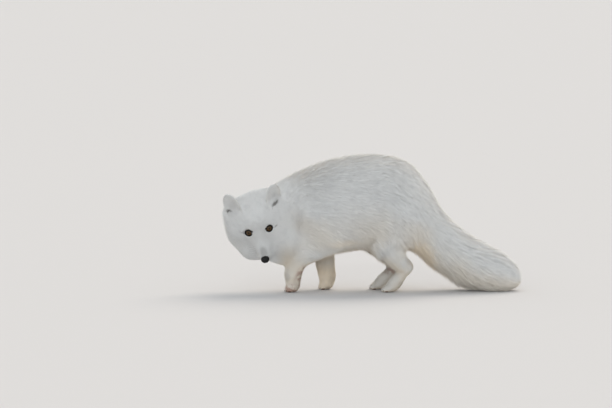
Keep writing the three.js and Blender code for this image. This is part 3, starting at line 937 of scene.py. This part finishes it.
def eye_finish():
    finish = Finish("fox_eye", Roughness=0.1, IOR=1.376, Coat_Weight=0.35, Coat_Roughness=0.02)
    finish.set(Specular_IOR_Level=0.15)
    place = finish.add("ShaderNodeUVMap", dict(uv_map="iris"))
    x = finish.add("ShaderNodeSeparateXYZ", None, {0: place}, "X")
    y = Wire(finish, x.socket.node.outputs["Y"])
    far = (x * x + y * y) ** 0.5
    slit = ((x * 1.6) ** 2 + y**2) ** 0.5
    spokes = finish.noise(9, 3, 0.6, place)
    stops = ((0.0, (0.032, 0.016, 0.006)), (0.45, (0.078, 0.041, 0.011)), (1.0, (0.026, 0.013, 0.006)))
    iris = finish.add("ShaderNodeValToRGB", dict(stops=stops), {0: far * 1.35 + spokes * 0.35 - 0.15})
    ringed = finish.mixed(far.between(*IRIS_EDGE), iris, (0.006, 0.005, 0.004))
    pupil = 1 - slit.between(*PUPIL_EDGE)
    finish.set(Base_Color=finish.mixed(pupil, ringed, (0.002, 0.002, 0.002)))
    return finish.material


def build_eye(side, finish):
    shape = bmesh.new()
    bmesh.ops.create_uvsphere(shape, u_segments=40, v_segments=28, radius=1)
    for vertex in shape.verts:
        off = math.hypot(vertex.co.x, vertex.co.y) if vertex.co.z > 0 else 1
        vertex.co *= 1 + 0.06 * max(0, 1 - (off / 0.68) ** 2)
    layer = shape.loops.layers.uv.new("iris")
    for face in shape.faces:
        for loop in face.loops:
            loop[layer].uv = loop.vert.co.xy
    socket = eye_frame(side)
    axes = socket.to_3x3()
    look = (HEAD.to_3x3() @ Vector(LOOKS_AT)).normalized()
    gaze = axes.col[2].lerp(look, LOOK_UP).normalized()
    turn = axes.col[2].rotation_difference(gaze).to_matrix().to_4x4()
    place = Matrix.Translation(socket.translation) @ turn @ axes.to_4x4()
    bmesh.ops.transform(shape, matrix=place @ Matrix.Scale(EYEBALL, 4), verts=shape.verts)
    bmesh.ops.recalc_face_normals(shape, faces=shape.faces)
    eye = piece_of(f"eyeball_{side}", shape, finish)
    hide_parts(f"eye_{side}")


# Rings of a lid from the edge outwards: distance along the lid, and from the middle of the eye (mm).
LID_RINGS = (
    (0.3, 10.9), (0, 11.4), (0.1, 11.8), (0.6, 12.1), (1.4, 12.3), (2.4, 12.3),
    (3.4, 12.1), (4.6, 11.8), (6, 11.4), (7.5, 10.7),
)
LID_THICKNESS = 0.4 * MM


def lid_finish():
    finish = Finish("eyelid", Roughness=0.6, Specular_IOR_Level=0.12)
    wrinkle = finish.noise(700, 3)
    edge = (finish.attribute("rim") + (wrinkle - 0.5) * 0.3).between(0.3, 0.45)
    # Past the black rim the lid is painted mid-grey, as shade under the fur at the lid's edge, rather than
    # the fur's white.
    finish.set(Base_Color=finish.mixed(edge, (0.42, 0.405, 0.385), DARK_SKIN))
    finish.set(Normal=finish.bump(wrinkle, 0.4, 0.3 * MM))
    return finish.material


def build_lids(side, finish):
    """A shell over the eyeball with an almond opening, black along its edge and at the corners."""
    shape = bmesh.new()
    rim = shape.verts.layers.float.new("rim")
    bmesh.ops.create_circle(shape, cap_ends=False, segments=64, radius=1)
    ring, edges = list(shape.verts), list(shape.edges)
    for number, (out, radius) in enumerate(LID_RINGS):
        if number:
            ring, edges = extruded(shape, edges)
        for vertex in ring:
            turn = math.atan2(vertex.co.y, vertex.co.x)
            lean = math.asin(float(lid_edge(turn)) * MM / EYEBALL) + out * MM / EYEBALL
            vertex[rim] = min(1.0, max(0.0, 1 - 0.5 * out / float(rim_width(turn))))
            flat = Vector((math.cos(turn), math.sin(turn), 0)) * math.sin(lean)
            vertex.co = (flat + Vector((0, 0, math.cos(lean)))) * radius
    bmesh.ops.transform(shape, matrix=eye_frame(side) @ Matrix.Scale(MM, 4), verts=shape.verts)
    bmesh.ops.recalc_face_normals(shape, faces=shape.faces)
    facing = sum(face.normal.dot(face.calc_center_median() - centre(f"eye_{side}")) for face in shape.faces)
    if facing < 0:
        bmesh.ops.reverse_faces(shape, faces=shape.faces)
    lids = piece_of(f"eyelids_{side}", shape, finish)
    thick = lids.modifiers.new("thick", "SOLIDIFY")
    thick.thickness, thick.offset = LID_THICKNESS, -1


# -------- nose, lips and whiskers
NOSE_RADII = (9, 10.2, 8.9)  # mm
NOSE_TILT = 12  # degrees that it leans down
NOSTRIL_AT = (4.3, 0.2)  # out from the middle line and up, mm


def nose_finish():
    finish = Finish("bare_nose", Roughness=0.42, Specular_IOR_Level=0.2)
    finish.set(Coat_Weight=0.08, Coat_Roughness=0.15)
    place = finish.add("ShaderNodeTexCoord", out="Object")
    edges = dict(feature="DISTANCE_TO_EDGE")
    pebbles = finish.add("ShaderNodeTexVoronoi", edges, {"Vector": place, "Scale": 1100})
    stain = finish.noise(160, 2)
    finish.set(Base_Color=finish.mixed(stain, (0.004, 0.004, 0.004), (0.013, 0.0125, 0.012)))
    finish.set(Normal=finish.bump(pebbles.between(0, 0.25), 0.6, 0.25 * MM))
    return finish.material


def nose_form(co):
    """A point of the unit ball moved to the form of the nose: wide above, with nostrils and a groove."""
    x, y, z = co
    wide = 1 + 0.16 * z - 0.1 * max(0, -z)
    place = Vector((x * NOSE_RADII[0], y * NOSE_RADII[1] * wide, z * NOSE_RADII[2]))
    if x > -0.2:
        for hand in (1, -1):
            across, up = place.y * hand - NOSTRIL_AT[0], place.z - NOSTRIL_AT[1]
            hole = math.exp(-((across / 1.8) ** 2) - (up / 1.7) ** 2)
            slit = math.exp(-(((across - 3.2) / 2.6) ** 2) - ((up + 1.2 + 0.2 * across) / 0.8) ** 2)
            place.x -= 4.2 * hole + 2.0 * slit
        groove = math.exp(-((place.y / 0.75) ** 2)) * (0.35 if place.z > 1 else 1)
        place.x -= 1.3 * groove * max(0, x)
    return place


def build_nose():
    shape = bmesh.new()
    bmesh.ops.create_icosphere(shape, subdivisions=6, radius=1)
    for vertex in shape.verts:
        vertex.co = nose_form(vertex.co)
    turn = Matrix.Rotation(math.radians(NOSE_TILT), 4, "Y")
    place = Matrix.Translation(centre("nose")) @ HEAD.to_3x3().to_4x4() @ turn @ Matrix.Scale(MM, 4)
    bmesh.ops.transform(shape, matrix=place, verts=shape.verts)
    bmesh.ops.recalc_face_normals(shape, faces=shape.faces)
    nose = piece_of("nose_pad", shape, nose_finish())
    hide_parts("nose")


# The line of the lips on the fox's left, in the head's frame (mm), and from the nose down to it.
LIP_LINE = ((66, 0, -46), (63, 4, -49), (57, 7, -51), (50, 8.5, -52))
UNDER_NOSE = ((69, 0, -41.5), (67.5, 0, -43.5), (66, 0, -46))
LIP_WIDTH = 0.9 * MM
WHISKERS = (3, 4)  # on each side: rows, and whiskers in a row
WHISKER_WIDTH = 0.13 * MM


def build_lips(hide_tree):
    finish = mottled("lip_skin", (300,), DARK_SKIN, (0.05, 0.035, 0.03), Roughness=0.45)
    shape = bmesh.new()
    lines = [UNDER_NOSE] + [[(x, y * hand, z) for x, y, z in LIP_LINE] for hand in (1, -1)]
    for line in lines:
        path = []
        for a, b in zip(line, line[1:]):
            path += [Vector(a).lerp(Vector(b), k / 4) for k in range(4)]
        path.append(Vector(line[-1]))
        path = [hide_tree.find_nearest(from_head(place)) for place in path]
        path = [place - normal * 0.5 * MM for place, normal, _, _ in path]
        shares = [math.sin(math.pi * (k + 1.5) / (len(path) + 3)) ** 0.5 for k in range(len(path))]
        swept(shape, path, [LIP_WIDTH * share for share in shares], 6)
    piece_of("lips", closed(shape), finish)


def build_whiskers(hide_tree):
    finish = mottled("whisker", (60,), (0.3, 0.29, 0.27), (0.6, 0.59, 0.56), Roughness=0.4)
    shape = bmesh.new()
    for hand in (1, -1):
        for row in range(WHISKERS[0]):
            for step in range(WHISKERS[1]):
                start = from_head((50 - 6 * step - row, hand * (9 + 1.5 * step), -26 - 4.5 * row + step))
                place, normal, _, _ = hide_tree.find_nearest(start)
                out = HEAD_AXES @ np.array([-0.25 - 0.12 * step, hand * 1.0, 0.1 - 0.22 * row])
                way = Vector(out) + 0.35 * normal
                length = (26 + 7 * step + rng.uniform(-3, 3)) * MM
                path = arc(place - normal * 2 * MM, way, HEAD_AXES @ np.array([-0.5, 0, -0.25]), length, 8)
                swept(shape, path, [WHISKER_WIDTH * (1 - k / 8.6) for k in range(9)], 4)
    piece_of("whiskers", closed(shape), finish)


# -------- claws and pads
TOES = 4
TOE_SPREAD = 9.2 * MM  # from toe to toe
CLAW_LENGTH, CLAW_WIDTH = 8.5 * MM, 1.35 * MM
TOE_PAD = (4.6, 3.4, 1.9)  # half its length, width and height, mm
HEEL_PAD = (7, 9, 2.1)


def paw_places(name):
    """For each toe of a paw: where its tip is on the floor, and the middle of the paw's flat sole."""
    low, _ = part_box(name)
    flat = [v.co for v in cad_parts[name].data.vertices if v.co.z < low.z + 1 * MM]
    middle = sum(flat, Vector()) / len(flat)
    for toe in range(TOES):
        off = toe - (TOES - 1) / 2
        ahead = low.x + (4.5 + 3 * abs(off)) * MM
        yield Vector((ahead, middle.y + off * TOE_SPREAD, 0)), middle


def build_claws():
    gloss = dict(Roughness=0.3, Coat_Weight=0.2, Coat_Roughness=0.2)
    finish = mottled("dark_horn", (200,), (0.05, 0.04, 0.035), (0.16, 0.13, 0.1), **gloss)
    shape = bmesh.new()
    for name in PAWS:
        for tip, _ in paw_places(name):
            start = tip + Vector((2, 0, 6.2)) * MM
            path = arc(start, (-1, 0, -0.12), (0.15, 0, -0.42), CLAW_LENGTH, 6)
            swept(shape, path, [CLAW_WIDTH * (1 - (k / 6.2) ** 1.6) for k in range(7)], 8)
    piece_of("claws", closed(shape), finish)


def add_pad(shape, place, size, around, rings):
    """A flattened ball under a paw."""
    turn = Matrix.Translation(place) @ Matrix.Diagonal((*(half * MM for half in size), 1))
    bmesh.ops.create_uvsphere(shape, u_segments=around, v_segments=rings, radius=1, matrix=turn)


def build_pads():
    finish = mottled("paw_pad", (220, 3), (0.09, 0.05, 0.035), (0.22, 0.13, 0.09), Roughness=0.6)
    shape = bmesh.new()
    for name in PAWS:
        for tip, middle in paw_places(name):
            add_pad(shape, (tip.x + 5 * MM, tip.y, 2 * MM), TOE_PAD, 14, 9)
        add_pad(shape, (middle.x + 8 * MM, middle.y, 2.2 * MM), HEEL_PAD, 20, 12)
    piece_of("paw_pads", shape, finish)


# -------- the studio
CAMERA = dict(distance=10, elevation=4.4, lens=241, sees=(-0.159, 0, 0.2125))


def build_camera():
    camera = bpy.data.objects.new("camera", bpy.data.cameras.new("camera"))
    scene.collection.objects.link(camera)
    lean = math.radians(CAMERA["elevation"])
    aim = Vector(CAMERA["sees"])
    camera.location = aim + CAMERA["distance"] * Vector((0, -math.cos(lean), math.sin(lean)))
    camera.rotation_euler = (math.pi / 2 - lean, 0, 0)
    camera.data.lens = CAMERA["lens"]
    camera.data.clip_end = 400
    scene.camera = camera


# Each lamp shines like a patch of sky: which way it shines, its strength, tint and width (degrees).
LAMPS = {
    "back_light": dict(way=(-0.34, -0.6, -0.72), strength=1.65, tint=(1, 0.9, 0.79), wide=45),
    "front_light": dict(way=(0.1, 0.99, -0.06), strength=1.02, tint=(0.94, 0.975, 1), wide=50),
    "catch_light": dict(way=(0.1, 0.95, -0.45), strength=0.1, tint=(1, 1, 1), wide=5),
}
FLOOR_COLOUR = (0.655, 0.65, 0.65, 1)
FLOOR_RADIUS = 150
SKY = dict(colour=(0.955, 0.98, 1, 1), strength=0.72)


def build_floor():
    shape = bmesh.new()
    bmesh.ops.create_circle(shape, cap_ends=True, segments=64, radius=FLOOR_RADIUS)
    floor = linked("floor", mesh_of("floor", shape))
    finish = Finish("pale_floor", Roughness=0.9, Base_Color=FLOOR_COLOUR, Specular_IOR_Level=0.1)
    floor.data.materials.append(finish.material)


def build_lights():
    """The lamps, and an even sky that lights the shades."""
    for name, lamp in LAMPS.items():
        data = bpy.data.lights.new(name, "SUN")
        data.energy, data.color, data.angle = lamp["strength"], lamp["tint"], math.radians(lamp["wide"])
        light = bpy.data.objects.new(name, data)
        light.rotation_euler = Vector(lamp["way"]).to_track_quat("-Z", "Y").to_euler()
        scene.collection.objects.link(light)
    world = bpy.data.worlds.new("studio")
    world.use_nodes = True
    scene.world = world
    background = world.node_tree.nodes["Background"]
    background.inputs["Color"].default_value = SKY["colour"]
    background.inputs["Strength"].default_value = SKY["strength"]
    scene.view_settings.view_transform = "Standard"


# -------- building the fox
build_camera()
build_floor()
build_lights()
hide = build_hide()
outside = BVHTree.FromPolygons(hide.outer.tolist(), hide.quads.tolist())
build_coat(hide, outside)
build_skin(hide)
eye_look, lid_look = eye_finish(), lid_finish()
for side in HANDS:
    build_eye(side, eye_look)
    build_lids(side, lid_look)
build_nose()
build_lips(outside)
build_whiskers(outside)
build_claws()
build_pads()
